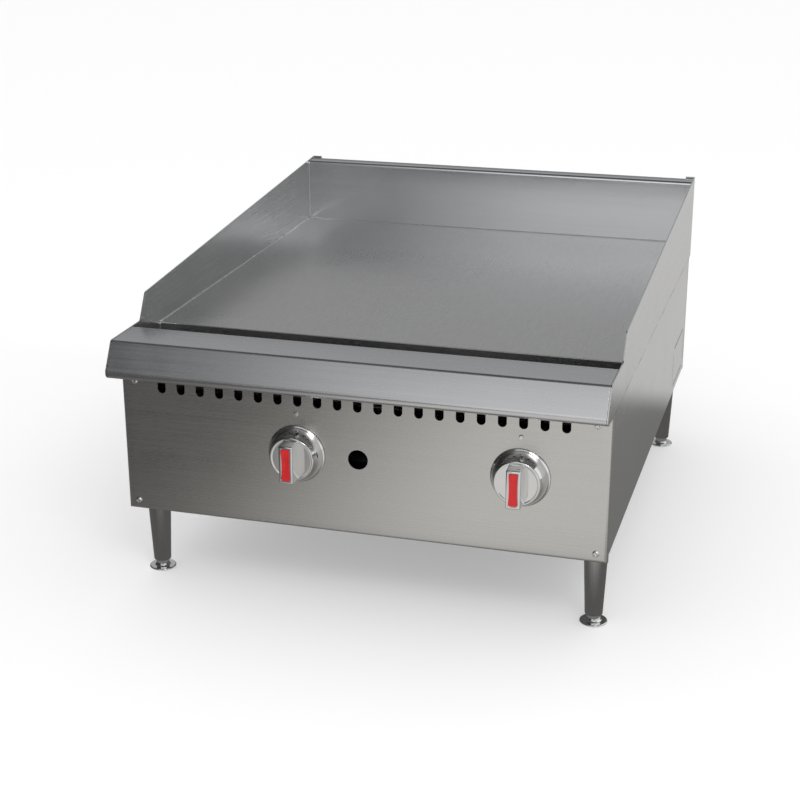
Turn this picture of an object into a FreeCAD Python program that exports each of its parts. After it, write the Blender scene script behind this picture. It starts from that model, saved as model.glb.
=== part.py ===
"""Two-burner countertop gas griddle with a flat steel plate, modelled as separate pieces.

Local frame while modelling: x to the right, y back from the face of the front panel, z up from the
underside of the body.  Each piece's Placement then moves it so that the origin of the finished
model is the bottom centre of its bounding box.
"""
import FreeCAD, Part
import math
import os
import types
import Sketcher

Vector = FreeCAD.Vector
Rotation = FreeCAD.Rotation

DIMENSIONS = {
    # body and sheet metal
    "body_width": 610.0, "body_depth": 735.0, "skin": 1.5, "bend_radius": 3.0, "leg_height": 100.0,
    "seam": 0.3, "inlet_reach": 30.0, "flange": 24.0,
    # front rail and splash guards
    "rail_top": 230.0, "rail_bottom": 186.0, "rail_crest": 22.7, "rail_corner": 48.1, "rail_back": 38.4,
    "rail_nose": 42.245, "nose_radius": 8.0, "rail_hem": 30.0, "rail_lip": 20.0,
    "step_foot": 60.0, "step_head": 79.0, "step_top": 262.0, "guard_top": 307.4, "guard_return": 12.0,
    "splash_front": 705.0, "splash_top": 305.3, "splash_drop": 18.0,
    # griddle plate and trough
    "plate_front": 115.0, "plate_top": 212.0, "plate_thick": 19.0, "plate_chamfer": 1.0,
    "trough_floor": 150.0, "trough_lip": 25.0, "drain_x": 225.0, "drain_y": 77.0, "drain_radius": 19.5,
    "chute_end": 92.0, "chute_flange": 26.0,
    # front panel
    "panel_return": 8.0, "side_notch": 25.0, "slot_count": 21.0, "slot_pitch": 25.15,
    "slot_width": 10.6, "slot_low": 159.0, "slot_high": 182.0, "control_z": 98.5,
    "left_control_x": -77.5, "right_control_x": 199.0,
    "control_hole": 9.0, "port_radius": 12.5, "stud_z": 149.0, "stud_hole": 1.6,
    "panel_screw_low_x": 291.0, "panel_screw_low_z": 12.0, "panel_screw_high_x": 287.5,
    "panel_screw_high_z": 172.0, "screw_shank": 2.0, "screw_head": 4.2, "screw_rise": 2.2,
    "screw_reach": 8.0, "screw_hole": 2.15,
    # side and rear panels
    "side_top": 190.0, "knockout_front": 595.0, "knockout_rear": 716.0, "knockout_low": 15.0,
    "knockout_high": 76.0, "knockout_slit": 1.8, "knockout_tab": 9.0, "rear_top": 304.0,
    "flue_count": 11.0, "flue_pitch": 48.0, "flue_wide": 36.0, "flue_tall": 9.0, "flue_z": 262.0,
    "rear_screw_x": 287.0, "guard_screw_x": 297.5,
    # legs and feet
    "leg_x": 284.5, "leg_front": 45.0, "leg_rear": 660.0, "leg_top_radius": 15.0, "leg_end_radius": 11.0,
    "leg_end": 88.0, "leg_bore": 8.55, "leg_bore_top": 40.0, "stud_radius": 4.0, "leg_stud_top": 18.0,
    "foot_neck": 8.5, "foot_radius": 17.0, "foot_thick": 3.0, "foot_stem_top": 46.0,
    "foot_blend": 1.5, "foot_edge": 0.8,
    "mount_plate": 3.0, "mount_wide": 26.0, "mount_long": 60.0, "nut_radius": 7.5, "nut_thick": 6.5,
    # grease drawer
    "drawer_front": 30.0, "drawer_rear": 180.0, "drawer_floor": 20.0, "drawer_top": 86.0,
    "drawer_inner_end": 138.0, "drawer_gap": 1.0, "finger_wide": 60.0, "finger_tall": 16.0,
    "finger_z": 68.0, "runner_reach": 12.0, "runner_inset": 4.0, "runner_end": 2.0,
    "runner_foot": 7.6, "runner_top": 45.0, "pan_depth": 15.0,
    # burner box
    "shield_x": 236.0, "shield_front": 195.0, "shield_rear": 725.0, "shield_flange": 15.0,
    "radiant_half": 222.0, "radiant_z": 40.0, "baffle_y": 190.0, "burner_hole": 17.0,
    "window_half": 50.0, "window_radius": 18.0, "support_wide": 25.0, "support_thick": 3.0,
    "support_front": 145.0, "bracket_foot": 20.0,
    # burners
    "burner_radius": 16.0, "burner_wall": 1.5, "burner_turn": 62.0, "burner_start": 124.0,
    "burner_bend_y": 600.0, "burner_end_y": 208.0, "mixer_radius": 20.0, "mixer_length": 28.0,
    "port_hole": 1.5, "port_pitch": 15.0, "port_count": 24.0, "port_first": 228.0,
    "shutter_gap": 0.3, "shutter_wall": 1.5, "shutter_length": 18.0, "air_slot": 8.0,
    "air_window": 12.0, "air_setback": 6.0, "shutter_edge": 3.0,
    # gas train
    "pipe_radius": 13.35, "pipe_wall": 2.87, "manifold_y": 62.0, "manifold_z": 72.0,
    "manifold_left": 112.0, "supply_x": 262.0, "elbow_radius": 17.0, "elbow_reach": 30.0,
    "collar_radius": 16.0, "collar_start": 695.0, "collar_proud": 2.0, "socket_depth": 12.0,
    "stem_radius": 4.0, "stem_clearance": 0.05, "stem_back": 38.0, "stem_out": 30.0,
    "valve_radius": 11.0, "bonnet_radius": 13.0, "neck_radius": 7.0, "outlet_radius": 8.0,
    "valve_neck_end": 18.0, "valve_bonnet_end": 30.0, "valve_body_end": 70.0, "valve_taper": 2.0,
    "valve_outlet_end": 90.0, "valve_seat": 40.0, "plug_thread": 9.0, "plug_head": 6.0,
    "orifice_thread": 22.0, "orifice_barrel": 26.0,
    "stub_radius": 7.0, "gas_bore": 3.0, "hood_radius": 9.0, "hood_end": 130.0, "orifice": 1.2,
    "pilot_x": 40.0, "pilot_z": 98.0, "pilot_tube": 3.0, "pilot_head": 5.0, "pilot_y": 205.0,
    "pilot_wall": 1.5, "pilot_post_over": 7.0, "pilot_arm": 18.0, "pilot_socket": 12.0, "pilot_start": 10.0,
    "pilot_entry": 6.0, "pilot_length": 32.0, "pilot_strip": 10.0, "pilot_strip_drop": 12.0,
    "pilot_shelf": 24.0, "pilot_post_half": 4.0, "pilot_post_start": 8.0, "pilot_post_thick": 2.0,
    # knobs
    "knob_rim": 36.0, "knob_disc": 26.8, "knob_disc_y": 21.0, "knob_gap": 1.0, "knob_hub": 9.0,
    "grip_wide": 18.8, "grip_long": 48.6, "grip_out": 41.0, "grip_round": 2.0, "insert_wide": 11.6, "insert_long": 40.6,
    "insert_sunk": 1.6, "insert_proud": 0.5, "rim_edge": 2.2, "rim_step": 1.2, "disc_edge": 0.6,
    "stud_head": 3.0, "stud_tip": 2.3, "stud_rise": 3.0, "stud_shank": 1.5, "stud_reach": 4.0,
}


class Size:
    """A length that carries the spreadsheet expression it comes from."""

    def __init__(self, value, text):
        self.value = value
        self.text = text

    def join(self, other, sign, swapped=False):
        other = other if isinstance(other, Size) else Size(float(other), repr(float(other)))
        first, second = (other, self) if swapped else (self, other)
        results = {"+": first.value + second.value, "-": first.value - second.value,
                   "*": first.value * second.value}
        result = first.value / second.value if sign == "/" else results[sign]
        return Size(result, f"({first.text} {sign} {second.text})")

    def __add__(self, other):
        return self.join(other, "+")

    def __radd__(self, other):
        return self.join(other, "+", True)

    def __sub__(self, other):
        return self.join(other, "-")

    def __rsub__(self, other):
        return self.join(other, "-", True)

    def __mul__(self, other):
        return self.join(other, "*")

    def __rmul__(self, other):
        return self.join(other, "*", True)

    def __truediv__(self, other):
        return self.join(other, "/")

    def __neg__(self):
        return self.join(-1.0, "*")


doc = FreeCAD.newDocument("griddle")
sheet = doc.addObject("Spreadsheet::Sheet", "dims")
for row, (alias, number) in enumerate(DIMENSIONS.items(), start=1):
    sheet.set(f"A{row}", alias)
    sheet.set(f"B{row}", str(number))
    sheet.setAlias(f"B{row}", alias)
doc.recompute()

d = types.SimpleNamespace(**{name: Size(number, f"dims.{name}") for name, number in DIMENSIONS.items()})
ZERO = Size(0.0, "0")
half_width = d.body_width / 2
inner_face = half_width - d.skin
setback = (d.body_depth + d.inlet_reach - d.rail_nose) / 2
under_plate = d.plate_top - d.plate_thick
pipe_bore = d.pipe_radius - d.pipe_wall
pan_low = d.skin * 2
pan_top = d.skin * 3
CONTROLS = {"left": d.left_control_x, "right": d.right_control_x}
SIDES = {"left": -1, "right": 1}
LEG_PLACES = {"front_left": (-1, d.leg_front), "front_right": (1, d.leg_front),
              "rear_left": (-1, d.leg_rear), "rear_right": (1, d.leg_rear)}
REAR_SCREW_HEIGHTS = (30.0, 105.0, 178.0)
GUARD_SCREW_HEIGHTS = (212.0, 276.0)
node_objects = []


def as_size(number):
    return number if isinstance(number, Size) else Size(float(number), repr(float(number)))


def bind(item, name, size):
    item.setExpression(name, as_size(size).text)


def seat(item, x=0, y=0, z=0):
    """Bind an object's position, given in the local frame, to the finished model's frame."""
    bind(item, "Placement.Base.x", as_size(x))
    bind(item, "Placement.Base.y", as_size(y) - setback)
    bind(item, "Placement.Base.z", as_size(z) + d.leg_height)
    return item


def node(item, label):
    """Register an object as one of the pieces that are exported."""
    item.Label = label
    node_objects.append(item)
    return item


# ---------------------------------------------------------------- Part Design helpers

def new_body(label, x=0, y=0, z=0):
    body = doc.addObject("PartDesign::Body", label)
    seat(body, x, y, z)
    return node(body, label)


def sketch_on(body, role, offset=ZERO):
    """A sketch on one of the body's own origin planes, moved along the plane's normal."""
    plane = next(item for item in body.Origin.OriginFeatures if item.Role == role)
    sketch = body.newObject("Sketcher::SketchObject", body.Label + "_sketch")
    sketch.AttachmentSupport = (plane, [""])
    sketch.MapMode = "FlatFace"
    bind(sketch, "AttachmentOffset.Base.z", offset)
    return sketch


def fix_point(sketch, geometry, point, place):
    """Tie a point of the sketch to its origin by two bound distances."""
    for kind, size in zip(("DistanceX", "DistanceY"), place):
        size = as_size(size)
        index = sketch.addConstraint(Sketcher.Constraint(kind, -1, 1, geometry, point, size.value))
        sketch.setExpression(f"Constraints[{index}]", size.text)


def flat_point(place):
    return Vector(as_size(place[0]).value, as_size(place[1]).value, 0)


def draw_polygon(sketch, places):
    first = sketch.GeometryCount
    total = len(places)
    for index in range(total):
        ends = flat_point(places[index]), flat_point(places[(index + 1) % total])
        sketch.addGeometry(Part.LineSegment(*ends), False)
    for index in range(total):
        following = first + (index + 1) % total
        sketch.addConstraint(Sketcher.Constraint("Coincident", first + index, 2, following, 1))
        fix_point(sketch, first + index, 1, places[index])


def draw_rectangle(sketch, low, high):
    draw_polygon(sketch, [low, (high[0], low[1]), high, (low[0], high[1])])


def draw_circle(sketch, centre, radius):
    radius = as_size(radius)
    circle = sketch.addGeometry(Part.Circle(flat_point(centre), Vector(0, 0, 1), radius.value), False)
    fix_point(sketch, circle, 3, centre)
    index = sketch.addConstraint(Sketcher.Constraint("Radius", circle, radius.value))
    sketch.setExpression(f"Constraints[{index}]", radius.text)


def draw_slot(sketch, first, last, radius):
    """A slot with round ends between two centres that lie along one of the sketch's axes."""
    start, end = flat_point(first), flat_point(last)
    way = (end - start).normalize()
    left = Vector(-way.y, way.x, 0) * radius.value
    turn = math.atan2(way.y, way.x)
    half = math.pi / 2
    far_circle = Part.Circle(end, Vector(0, 0, 1), radius.value)
    near_circle = Part.Circle(start, Vector(0, 0, 1), radius.value)
    far = sketch.addGeometry(Part.ArcOfCircle(far_circle, turn - half, turn + half), False)
    near = sketch.addGeometry(Part.ArcOfCircle(near_circle, turn + half, turn + 3 * half), False)
    back = sketch.addGeometry(Part.LineSegment(end + left, start + left), False)
    forth = sketch.addGeometry(Part.LineSegment(start - left, end - left), False)
    loop = (far, back, near, forth)
    for one, two in zip(loop, loop[1:] + loop[:1]):
        sketch.addConstraint(Sketcher.Constraint("Tangent", one, 2, two, 1))
    fix_point(sketch, far, 3, last)
    fix_point(sketch, near, 3, first)
    for arc in (far, near):
        index = sketch.addConstraint(Sketcher.Constraint("Radius", arc, radius.value))
        sketch.setExpression(f"Constraints[{index}]", radius.text)


def pad(body, sketch, length, middle=False, backwards=False):
    feature = body.newObject("PartDesign::Pad", body.Label + "_pad")
    feature.Profile = sketch
    feature.Midplane = middle
    feature.Reversed = backwards
    bind(feature, "Length", length)
    doc.recompute()
    return feature


def pocket(body, sketch, depth, middle=False, backwards=False):
    """Cut a sketch into the body and make sure that it took material away."""
    before = body.Shape.Volume
    feature = body.newObject("PartDesign::Pocket", body.Label + "_cut")
    feature.Profile = sketch
    feature.Midplane = middle
    feature.Reversed = backwards
    bind(feature, "Length", depth)
    doc.recompute()
    if not body.Shape.Volume < before - 1e-3:
        raise RuntimeError(f"{feature.Name} cut nothing")
    return feature


def repeat(body, feature, direction, pitch, count):
    """A straight row of the same cut."""
    row = body.newObject("PartDesign::LinearPattern", body.Label + "_row")
    row.Originals = [feature]
    row.Direction = direction
    bind(row, "Length", pitch * (count - 1))
    bind(row, "Occurrences", count)
    body.Tip = row
    doc.recompute()


def edges_where(body, test):
    """Names of the straight edges whose middle and direction pass the test."""
    names = []
    for index, edge in enumerate(body.Tip.Shape.Edges, start=1):
        way = edge.tangentAt(edge.FirstParameter)
        if edge.Curve.TypeId == "Part::GeomLine" and test(edge.CenterOfMass, way):
            names.append(f"Edge{index}")
    return names


def round_edges(body, radius, test):
    names = edges_where(body, test)
    if not names:
        raise RuntimeError(f"no edge to round on {body.Label}")
    base = body.Tip
    feature = body.newObject("PartDesign::Fillet", body.Label + "_round")
    feature.Base = (base, names)
    bind(feature, "Radius", radius)
    doc.recompute()
    return feature


def hollow(body, thickness, test):
    """Turn the solid into sheet metal, open at the faces whose normal passes the test."""
    names = []
    for index, face in enumerate(body.Tip.Shape.Faces, start=1):
        flat = face.Surface.TypeId == "Part::GeomPlane"
        if flat and test(face.CenterOfMass, face.normalAt(0, 0)):
            names.append(f"Face{index}")
    before = body.Shape.Volume
    base = body.Tip
    feature = body.newObject("PartDesign::Thickness", body.Label + "_sheet")
    feature.Base = (base, names)
    feature.Reversed = True
    bind(feature, "Value", thickness)
    doc.recompute()
    if not body.Shape.Volume < before:
        raise RuntimeError(f"{body.Label} was not hollowed")


def sheet_line(sketch, places, thickness):
    """Outline of folded sheet: the given line, and a parallel one to its left."""
    thickness = as_size(thickness)
    outer = [flat_point(place) for place in places]
    runs = [(outer[i + 1] - outer[i]).normalize() for i in range(len(outer) - 1)]
    lefts = [Vector(-run.y, run.x, 0) for run in runs]
    inner = [outer[0] + lefts[0] * thickness.value]
    for i in range(1, len(outer) - 1):
        reach = thickness.value / (1 + lefts[i - 1].dot(lefts[i]))
        inner.append(outer[i] + (lefts[i - 1] + lefts[i]) * reach)
    inner.append(outer[-1] + lefts[-1] * thickness.value)
    count = len(runs)
    for line in (outer, inner):
        for i in range(count):
            sketch.addGeometry(Part.LineSegment(line[i], line[i + 1]), False)
    start_cap = sketch.addGeometry(Part.LineSegment(outer[0], inner[0]), False)
    end_cap = sketch.addGeometry(Part.LineSegment(outer[-1], inner[-1]), False)
    for shift in (0, count):
        for i in range(count - 1):
            sketch.addConstraint(Sketcher.Constraint("Coincident", shift + i, 2, shift + i + 1, 1))
    sketch.addConstraint(Sketcher.Constraint("Coincident", start_cap, 1, 0, 1))
    sketch.addConstraint(Sketcher.Constraint("Coincident", start_cap, 2, count, 1))
    sketch.addConstraint(Sketcher.Constraint("Coincident", end_cap, 1, count - 1, 2))
    sketch.addConstraint(Sketcher.Constraint("Coincident", end_cap, 2, 2 * count - 1, 2))
    sketch.addConstraint(Sketcher.Constraint("Perpendicular", start_cap, 0))
    sketch.addConstraint(Sketcher.Constraint("Perpendicular", end_cap, count - 1))
    for i in range(count):
        fix_point(sketch, i, 1, places[i])
        sketch.addConstraint(Sketcher.Constraint("Parallel", i, count + i))
        index = sketch.addConstraint(Sketcher.Constraint("Distance", count + i, 1, i, thickness.value))
        sketch.setExpression(f"Constraints[{index}]", thickness.text)
    fix_point(sketch, count - 1, 2, places[-1])
    return list(zip(outer[1:-1], inner[1:-1], lefts, runs[1:]))


def along_x(corner):
    """Test for the edges that run along x through a corner of the profile."""
    def found(middle, way):
        return abs(way.x) > 0.99 and math.hypot(middle.y - corner.x, middle.z - corner.y) < 0.02
    return found


def fold_bends(body, bends, radii):
    """Round each bend of folded sheet: small radius inside, the same plus the sheet outside."""
    for (outer, inner, left, run), radius in zip(bends, radii):
        turns_left = left.dot(run) > 0
        concave, convex = (inner, outer) if turns_left else (outer, inner)
        round_edges(body, radius, along_x(concave))
        round_edges(body, radius + d.skin, along_x(convex))


def folded_across(label, places, width, radii=None):
    """Sheet folded along lines parallel to x, centred on the middle of the body."""
    body = new_body(label)
    sketch = sketch_on(body, "YZ_Plane")
    bends = sheet_line(sketch, places, d.skin)
    pad(body, sketch, width, middle=True)
    fold_bends(body, bends, radii or [d.bend_radius] * len(bends))
    return body


def turned(label, places, x=0, y=0, z=0, upright=False):
    """A lathe-turned piece: the profile is (distance along the axis, radius).

    The axis is y, or z when upright.
    """
    body = new_body(label, x, y, z)
    sketch = sketch_on(body, "YZ_Plane")
    points = [(radius, along) for along, radius in places] if upright else places
    draw_polygon(sketch, points)
    feature = body.newObject("PartDesign::Revolution", label + "_turn")
    feature.Profile = sketch
    feature.ReferenceAxis = (sketch, ["V_Axis" if upright else "H_Axis"])
    feature.Angle = 360
    doc.recompute()
    return body


# ---------------------------------------------------------------- Part helpers

def cylinder(radius, length, x, y, z, axis="z"):
    """A round bar whose base is at the given place and that runs along +x, +y or +z."""
    item = doc.addObject("Part::Cylinder", "bar")
    bind(item, "Radius", radius)
    bind(item, "Height", length)
    turns = {"x": Rotation(Vector(0, 1, 0), 90), "y": Rotation(Vector(1, 0, 0), -90), "z": Rotation()}
    item.Placement = FreeCAD.Placement(Vector(), turns[axis])
    return seat(item, x, y, z)


def cone(low_radius, high_radius, length, x, y, z, turn):
    item = doc.addObject("Part::Cone", "cone")
    bind(item, "Radius1", low_radius)
    bind(item, "Radius2", high_radius)
    bind(item, "Height", length)
    item.Placement = FreeCAD.Placement(Vector(), turn)
    return seat(item, x, y, z)


def box(low, high):
    item = doc.addObject("Part::Box", "block")
    for name, first, last in zip(("Length", "Width", "Height"), low, high):
        bind(item, name, as_size(last) - as_size(first))
    return seat(item, *low)


def fuse(*pieces):
    item = doc.addObject("Part::MultiFuse", "joined")
    item.Shapes = list(pieces)
    return item


def cut(base, *tools):
    item = doc.addObject("Part::Cut", "trimmed")
    item.Base = base
    item.Tool = tools[0] if len(tools) == 1 else fuse(*tools)
    return item


def group(label, pieces):
    """Several identical solids that share one node."""
    item = doc.addObject("Part::Compound", label)
    item.Links = pieces
    return node(item, label)


def screw(x, y, z, backwards=False):
    """Pan-head screw along y; its head is on the front side unless it is driven from behind."""
    head_turn = Rotation(Vector(1, 0, 0), -90 if backwards else 90)
    shank_y = as_size(y) - d.screw_reach if backwards else y
    head = cone(d.screw_head, d.screw_head * 0.6, d.screw_rise, x, y, z, head_turn)
    return fuse(head, cylinder(d.screw_shank, d.screw_reach, x, shank_y, z, "y"))


# ---------------------------------------------------------------- outer skin

def front_panel():
    """Wrap-round front: corner bends, a turned-in bottom edge, air slots, control holes and port."""
    body = new_body("front_panel")
    sketch = sketch_on(body, "XY_Plane")
    draw_rectangle(sketch, (-half_width, ZERO), (half_width, d.panel_return))
    pad(body, sketch, d.rail_bottom)
    edge = half_width.value - 0.5
    round_edges(body, d.bend_radius + d.skin, lambda middle, way: middle.y < 0.01 and (
        (abs(way.z) > 0.99 and abs(middle.x) > edge) or (abs(way.x) > 0.99 and middle.z < 0.01)))
    hollow(body, d.skin, lambda middle, normal: normal.y > 0.99 or normal.z > 0.99)
    holes = sketch_on(body, "XZ_Plane")
    for x in CONTROLS.values():
        draw_circle(holes, (x, d.control_z), d.control_hole)
        draw_circle(holes, (x, d.stud_z), d.stud_hole)
    draw_circle(holes, (ZERO, d.control_z), d.port_radius)
    for side in SIDES.values():
        draw_circle(holes, (d.panel_screw_low_x * side, d.panel_screw_low_z), d.screw_hole)
        draw_circle(holes, (d.panel_screw_high_x * side, d.panel_screw_high_z), d.screw_hole)
    pocket(body, holes, d.skin * 4, middle=True)
    slot = sketch_on(body, "XZ_Plane")
    first = -d.slot_pitch * (d.slot_count - 1) / 2
    end_radius = d.slot_width / 2
    draw_slot(slot, (first, d.slot_low + end_radius), (first, d.slot_high - end_radius), end_radius)
    cut_slot = pocket(body, slot, d.skin * 4, middle=True)
    repeat(body, cut_slot, (slot, ["H_Axis"]), d.slot_pitch, d.slot_count)


def side_panel(name, side):
    """Folded side sheet; its upper edge is lapped by the splash guard."""
    body = new_body(f"{name}_side_panel")
    start = inner_face - d.flange if side > 0 else -inner_face
    sketch = sketch_on(body, "YZ_Plane", start)
    rear = d.body_depth - d.skin * 2
    front = d.skin + d.bend_radius
    draw_polygon(sketch, [(front, d.skin), (rear, d.skin), (rear, d.side_top),
                          (d.side_notch, d.side_top), (d.side_notch, d.rail_bottom),
                          (front, d.rail_bottom)])
    pad(body, sketch, d.flange)
    ends = {round(front.value, 3), round(rear.value, 3)}
    face = side * inner_face.value
    round_edges(body, d.bend_radius, lambda middle, way: abs(middle.x - face) < 0.01 and (
        abs(middle.z - d.skin.value) < 0.01 or round(middle.y, 3) in ends))
    hollow(body, d.skin, lambda middle, normal: normal.x * side < -0.99 or normal.z > 0.99 or (
        abs(normal.y) > 0.99 and abs(middle.y - d.side_notch.value) < 0.01))
    flange_holes = sketch_on(body, "XZ_Plane")
    draw_circle(flange_holes, (d.panel_screw_low_x * side, d.panel_screw_low_z), d.screw_hole)
    draw_circle(flange_holes, (d.panel_screw_high_x * side, d.panel_screw_high_z), d.screw_hole)
    pocket(body, flange_holes, d.skin * 12, middle=True)
    rear_holes = sketch_on(body, "XZ_Plane", -rear)
    for z in REAR_SCREW_HEIGHTS:
        draw_circle(rear_holes, (d.rear_screw_x * side, as_size(z)), d.screw_hole)
    pocket(body, rear_holes, d.skin * 6, middle=True)
    leg_holes = sketch_on(body, "XY_Plane")
    for y in (d.leg_front, d.leg_rear):
        draw_circle(leg_holes, (d.leg_x * side, y), d.stud_radius + d.seam)
    pocket(body, leg_holes, d.skin * 6, middle=True)
    return body


def left_side_panel():
    """The left side has the opening that the grease drawer comes out of."""
    body = side_panel("left", -1)
    opening = sketch_on(body, "YZ_Plane", -inner_face)
    gap = d.drawer_gap
    draw_rectangle(opening, (d.drawer_front - gap, d.drawer_floor - gap - d.skin),
                   (d.drawer_rear + gap, d.drawer_top + gap))
    pocket(body, opening, d.skin * 4, middle=True)


def right_side_panel():
    """The right side has a knock-out for a side gas connection, held by tabs at its corners."""
    body = side_panel("right", 1)
    slits = sketch_on(body, "YZ_Plane", inner_face)
    front, rear = d.knockout_front, d.knockout_rear
    low, high = d.knockout_low, d.knockout_high
    tab, slit = d.knockout_tab, d.knockout_slit
    draw_rectangle(slits, (front + tab, low), (rear - tab, low + slit))
    draw_rectangle(slits, (front + tab, high - slit), (rear - tab, high))
    draw_rectangle(slits, (front, low + tab), (front + slit, high - tab))
    draw_rectangle(slits, (rear - slit, low + tab), (rear, high - tab))
    pocket(body, slits, d.skin * 4, middle=True)


def rear_panel():
    """Flat back sheet with a row of flue slots and the hole for the gas inlet."""
    body = new_body("rear_panel")
    sketch = sketch_on(body, "XZ_Plane", -(d.body_depth - d.skin * 2))
    draw_rectangle(sketch, (-inner_face, d.skin), (inner_face, d.rear_top))
    pad(body, sketch, d.skin, backwards=True)
    holes = sketch_on(body, "XZ_Plane", -(d.body_depth - d.skin))
    draw_circle(holes, (d.supply_x, d.manifold_z), d.collar_radius + 0.5)
    for side in SIDES.values():
        for z in REAR_SCREW_HEIGHTS:
            draw_circle(holes, (d.rear_screw_x * side, as_size(z)), d.screw_hole)
        for z in GUARD_SCREW_HEIGHTS:
            draw_circle(holes, (d.guard_screw_x * side, as_size(z)), d.screw_hole)
    pocket(body, holes, d.skin * 6, middle=True)
    flue = sketch_on(body, "XZ_Plane", -(d.body_depth - d.skin))
    first = -d.flue_pitch * (d.flue_count - 1) / 2
    half = d.flue_wide / 2
    draw_rectangle(flue, (first - half, d.flue_z), (first + half, d.flue_z + d.flue_tall))
    flue_cut = pocket(body, flue, d.skin * 6, middle=True)
    repeat(body, flue_cut, (flue, ["H_Axis"]), d.flue_pitch, d.flue_count)


def bottom_pan():
    """Shallow pan that closes the underside and rests on the side panels' flanges."""
    body = new_body("bottom_pan")
    sketch = sketch_on(body, "XY_Plane", pan_low)
    side = inner_face - d.skin * 2.5
    draw_rectangle(sketch, (-side, d.screw_reach + 2), (side, d.body_depth - d.skin * 5))
    pad(body, sketch, d.pan_depth)
    hollow(body, d.skin, lambda middle, normal: normal.z > 0.99)
    holes = sketch_on(body, "XY_Plane", pan_low)
    for side, y in LEG_PLACES.values():
        draw_circle(holes, (d.leg_x * side, y), d.stud_radius + d.seam)
    pocket(body, holes, d.skin * 4, middle=True)


def splash_guard(name, side):
    """Side splash: caps the rail's end, steps up and rises to the back; a return stiffens the rear."""
    body = new_body(f"{name}_splash_guard")
    start = inner_face if side > 0 else -half_width
    sketch = sketch_on(body, "YZ_Plane", start)
    rear = d.body_depth
    draw_polygon(sketch, [(rear, d.rail_bottom), (rear, d.guard_top), (d.step_head, d.step_top),
                          (d.step_foot, d.rail_top), (-d.rail_crest, d.rail_top),
                          (-d.rail_corner, d.rail_bottom)])
    pad(body, sketch, d.skin)
    nose = (-d.rail_corner.value, d.rail_bottom.value)
    round_edges(body, d.nose_radius, lambda middle, way: abs(way.x) > 0.99 and math.hypot(
        middle.y - nose[0], middle.z - nose[1]) < 0.1)
    corners = ((-d.rail_crest.value, d.rail_top.value), (d.step_foot.value, d.rail_top.value),
               (d.step_head.value, d.step_top.value))
    round_edges(body, d.bend_radius + d.skin, lambda middle, way: abs(way.x) > 0.99 and any(
        math.hypot(middle.y - y, middle.z - z) < 0.1 for y, z in corners))
    low_x = inner_face - d.guard_return if side > 0 else -half_width
    returned = sketch_on(body, "YZ_Plane", low_x)
    draw_rectangle(returned, (rear - d.skin, d.rail_bottom), (rear, d.guard_top - 0.2))
    pad(body, returned, d.guard_return + d.skin)
    holes = sketch_on(body, "XZ_Plane", -rear)
    for z in GUARD_SCREW_HEIGHTS:
        draw_circle(holes, (d.guard_screw_x * side, as_size(z)), d.screw_hole)
    pocket(body, holes, d.skin * 4, middle=True)


def front_rail():
    """Bull-nosed front rail between the ends of the splash guards."""
    places = [(d.rail_back, d.rail_top - d.rail_hem), (d.rail_back, d.rail_top),
              (-d.rail_crest, d.rail_top), (-d.rail_corner, d.rail_bottom), (d.rail_lip, d.rail_bottom)]
    radii = [d.bend_radius, d.bend_radius, d.nose_radius - d.skin]
    folded_across("front_rail", places, (inner_face - d.seam) * 2, radii)


def back_splash():
    top = d.splash_top
    rear = d.body_depth - d.skin * 2
    places = [(rear, top - d.splash_drop), (rear, top), (d.splash_front, top),
              (d.splash_front, d.side_top)]
    folded_across("back_splash", places, (inner_face - d.skin / 10) * 2)


def grease_trough():
    """Trough across the front, with closed ends and a drain hole near its left end."""
    back = d.plate_front - d.skin / 10
    half = inner_face - d.skin - d.seam
    lip_z = under_plate - d.skin - 0.1
    places = [(d.rail_back, d.rail_top - d.rail_hem / 4), (d.rail_back, d.trough_floor),
              (back, d.trough_floor), (back, lip_z), (back + d.trough_lip, lip_z)]
    body = folded_across("grease_trough", places, half * 2)
    for low_x in (-half, half - d.skin):
        end = sketch_on(body, "YZ_Plane", low_x)
        low = (d.rail_back + 0.2, d.trough_floor + d.skin / 2)
        draw_rectangle(end, low, (back - 0.2, d.side_top))
        pad(body, end, d.skin)
    drain = sketch_on(body, "XY_Plane", d.trough_floor)
    draw_circle(drain, (-d.drain_x, d.drain_y), d.drain_radius)
    pocket(body, drain, d.skin * 6, middle=True)


def griddle_plate():
    body = new_body("griddle_plate")
    half = inner_face - d.skin / 10
    sketch = sketch_on(body, "XY_Plane", under_plate)
    draw_rectangle(sketch, (-half, d.plate_front), (half, d.splash_front - d.skin / 10))
    pad(body, sketch, d.plate_thick)
    top = d.plate_top.value
    front = d.plate_front.value
    round_edges(body, d.plate_chamfer, lambda middle, way: abs(way.x) > 0.99 and math.hypot(
        middle.y - front, middle.z - top) < 0.01)


# ---------------------------------------------------------------- inside the body

def plate_support_angles():
    pieces = []
    outer = inner_face - d.skin - 0.1
    rear = d.splash_front - 1
    shelf_z = under_plate - d.support_thick
    for side in SIDES.values():
        shelf_x = -outer if side < 0 else outer - d.support_wide
        web_x = -outer if side < 0 else outer - d.support_thick
        shelf = box((shelf_x, d.support_front, shelf_z), (shelf_x + d.support_wide, rear, under_plate))
        web = box((web_x, d.support_front, under_plate - d.support_wide),
                  (web_x + d.support_thick, rear, shelf_z))
        pieces.append(fuse(shelf, web))
    group("plate_support_angles", pieces)


def heat_shield(name, side):
    """Upright sheet between a burner and the side of the body, with turned edges."""
    body = new_body(f"{name}_heat_shield")
    sketch = sketch_on(body, "XZ_Plane", -d.shield_front)
    near, far = d.shield_x * side, (d.shield_x + d.shield_flange) * side
    high = d.side_top - 0.5
    places = [(far, high), (near, high), (near, pan_top), (far, pan_top)]
    if side < 0:
        places.reverse()
    sheet_line(sketch, places, d.skin)
    pad(body, sketch, d.shield_rear - d.shield_front, backwards=True)


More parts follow.
